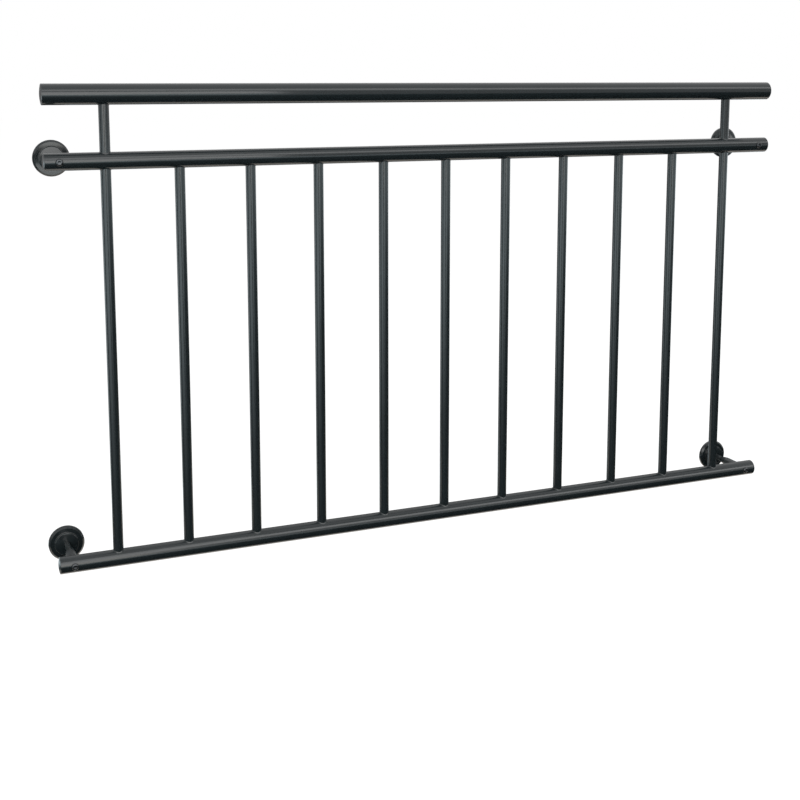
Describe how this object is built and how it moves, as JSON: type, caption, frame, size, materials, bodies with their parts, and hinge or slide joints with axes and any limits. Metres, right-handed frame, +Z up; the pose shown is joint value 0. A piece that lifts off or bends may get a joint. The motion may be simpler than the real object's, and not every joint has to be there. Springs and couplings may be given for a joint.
{
  "type": "juliet balcony railing",
  "caption": "Wall-mounted railing for a full-height window: a handrail over a frame of round tubes with upright bars, held off the wall by stand-off brackets with cover rosettes.",
  "frame": {"origin": "centre of the back face of the lower left wall plate, on the wall, with left as seen from outside", "axes": "+X along the rails to the right as seen from outside, +Y towards the wall, +Z up"},
  "size_m": [1.572, 0.134, 0.918],
  "materials": {
    "coated_tube": "smooth semi-gloss anthracite grey powder coat over steel",
    "coated_end_cap": "smooth semi-gloss anthracite grey powder coat over steel",
    "coated_bracket": "smooth semi-gloss anthracite grey powder coat over steel"
  },
  "bodies": {
    "root": {"handrail": "coated_tube", "upper_rail": "coated_tube", "lower_rail": "coated_tube", "handrail_cap_left": "coated_end_cap", "handrail_cap_right": "coated_end_cap", "upper_rail_cap_left": "coated_end_cap", "upper_rail_cap_right": "coated_end_cap", "lower_rail_cap_left": "coated_end_cap", "lower_rail_cap_right": "coated_end_cap", "post_left": "coated_tube", "post_right": "coated_tube", "baluster_1": "coated_tube", "baluster_2": "coated_tube", "baluster_3": "coated_tube", "baluster_4": "coated_tube", "baluster_5": "coated_tube", "baluster_6": "coated_tube", "baluster_7": "coated_tube", "baluster_8": "coated_tube", "baluster_9": "coated_tube", "wall_plate_lower_left": "coated_bracket", "rosette_lower_left": "coated_bracket", "stem_lower_left": "coated_bracket", "wall_plate_lower_right": "coated_bracket", "rosette_lower_right": "coated_bracket", "stem_lower_right": "coated_bracket", "wall_plate_upper_left": "coated_bracket", "rosette_upper_left": "coated_bracket", "stem_upper_left": "coated_bracket", "wall_plate_upper_right": "coated_bracket", "rosette_upper_right": "coated_bracket", "stem_upper_right": "coated_bracket"}
  },
  "joints": []
}
